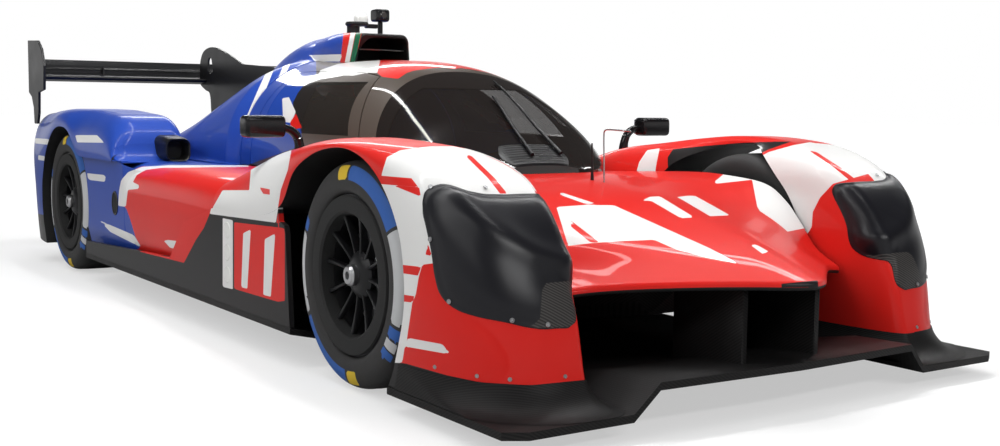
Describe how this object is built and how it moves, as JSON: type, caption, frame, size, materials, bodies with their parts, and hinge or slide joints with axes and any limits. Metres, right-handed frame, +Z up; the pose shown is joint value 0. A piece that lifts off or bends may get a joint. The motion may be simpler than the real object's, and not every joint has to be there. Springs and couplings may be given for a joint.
{
  "type": "closed-cockpit sports prototype race car",
  "caption": "Low closed-cockpit endurance race car with open-spoke wheels, swelling fenders, roof intake, shark fin and full-width rear wing; wheels roll, front wheels steer, doors lift.",
  "frame": {"origin": "centre of the overall box at ground level", "axes": "+Z up, the nose points to -Y, the car's right side is at -X"},
  "size_m": [2, 5, 1.3223],
  "materials": {
    "gloss_red": "gloss",
    "gloss_blue": "gloss",
    "carbon": "satin",
    "satin_black": "satin",
    "smoked_glass": "gloss",
    "tyre_rubber": "matte",
    "rim_metal": "satin",
    "disc_metal": "satin",
    "dark_metal": "satin"
  },
  "bodies": {
    "chassis": {"front_splitter": "carbon", "nose_body": "gloss_red", "cockpit_tub": "carbon", "canopy_frame": "gloss_red", "windscreen": "smoked_glass", "seat": "satin_black", "dashboard": "satin_black", "roof_intake": "gloss_blue", "engine_cover": "gloss_blue", "shark_fin": "carbon", "floor": "carbon", "diffuser": "carbon", "engine_block": "dark_metal", "gearbox_case": "dark_metal", "rear_wing": "carbon", "roof_camera": "satin_black", "front_fender_right": "gloss_red", "headlight_cover_right": "satin_black", "side_panel_right": "carbon", "sidepod_right": "gloss_red", "rear_fender_right": "gloss_blue", "endplate_right": "carbon", "mirror_right": "satin_black", "front_suspension_right": "dark_metal", "rear_suspension_right": "dark_metal", "front_fender_left": "gloss_red", "headlight_cover_left": "satin_black", "side_panel_left": "carbon", "sidepod_left": "gloss_red", "rear_fender_left": "gloss_blue", "endplate_left": "carbon", "mirror_left": "satin_black", "front_suspension_left": "dark_metal", "rear_suspension_left": "dark_metal"},
    "front_knuckle_right": {"front_knuckle_right": "dark_metal"},
    "front_wheel_right": {"front_tyre_right": "tyre_rubber", "front_rim_right": "rim_metal", "front_brake_disc_right": "disc_metal"},
    "rear_wheel_right": {"rear_tyre_right": "tyre_rubber", "rear_rim_right": "rim_metal", "rear_brake_disc_right": "disc_metal"},
    "door_right": {"door_right": "gloss_red", "door_window_right": "smoked_glass"},
    "front_knuckle_left": {"front_knuckle_left": "dark_metal"},
    "front_wheel_left": {"front_tyre_left": "tyre_rubber", "front_rim_left": "rim_metal", "front_brake_disc_left": "disc_metal"},
    "rear_wheel_left": {"rear_tyre_left": "tyre_rubber", "rear_rim_left": "rim_metal", "rear_brake_disc_left": "disc_metal"},
    "door_left": {"door_left": "gloss_red", "door_window_left": "smoked_glass"},
    "steering_wheel": {"steering_wheel": "satin_black"}
  },
  "joints": [
    {"name": "steer_right", "type": "hinge", "parent": "chassis", "child": "front_knuckle_right", "pos_m": [-0.79, -1.5, 0.355], "axis": [0, 0, 1], "range_deg": [-14, 14]},
    {"name": "front_wheel_spin_right", "type": "hinge", "parent": "front_knuckle_right", "child": "front_wheel_right", "pos_m": [-0.821, -1.5, 0.355], "axis": [1, 0, 0], "continuous": true},
    {"name": "rear_wheel_spin_right", "type": "hinge", "parent": "chassis", "child": "rear_wheel_right", "pos_m": [-0.799, 1.65, 0.355], "axis": [1, 0, 0], "continuous": true},
    {"name": "door_hinge_right", "type": "hinge", "parent": "chassis", "child": "door_right", "pos_m": [-0.3, -0.33, 1.01453], "axis": [0, 0.9987, 0.0505], "range_deg": [0, 75]},
    {"name": "steer_left", "type": "hinge", "parent": "chassis", "child": "front_knuckle_left", "pos_m": [0.79, -1.5, 0.355], "axis": [0, 0, 1], "range_deg": [-14, 14]},
    {"name": "front_wheel_spin_left", "type": "hinge", "parent": "front_knuckle_left", "child": "front_wheel_left", "pos_m": [0.821, -1.5, 0.355], "axis": [1, 0, 0], "continuous": true},
    {"name": "rear_wheel_spin_left", "type": "hinge", "parent": "chassis", "child": "rear_wheel_left", "pos_m": [0.799, 1.65, 0.355], "axis": [1, 0, 0], "continuous": true},
    {"name": "door_hinge_left", "type": "hinge", "parent": "chassis", "child": "door_left", "pos_m": [0.3, -0.33, 1.01453], "axis": [0, -0.9987, -0.0505], "range_deg": [0, 75]},
    {"name": "steering_wheel_turn", "type": "hinge", "parent": "chassis", "child": "steering_wheel", "pos_m": [-0.19, -0.56, 0.56], "axis": [0, 0.9511, 0.309], "range_deg": [-130, 130]}
  ],
  "couplings": [
    {"joint": "steer_left", "follows": "steer_right", "ratio": 1},
    {"joint": "steering_wheel_turn", "follows": "steer_right", "ratio": 9}
  ]
}
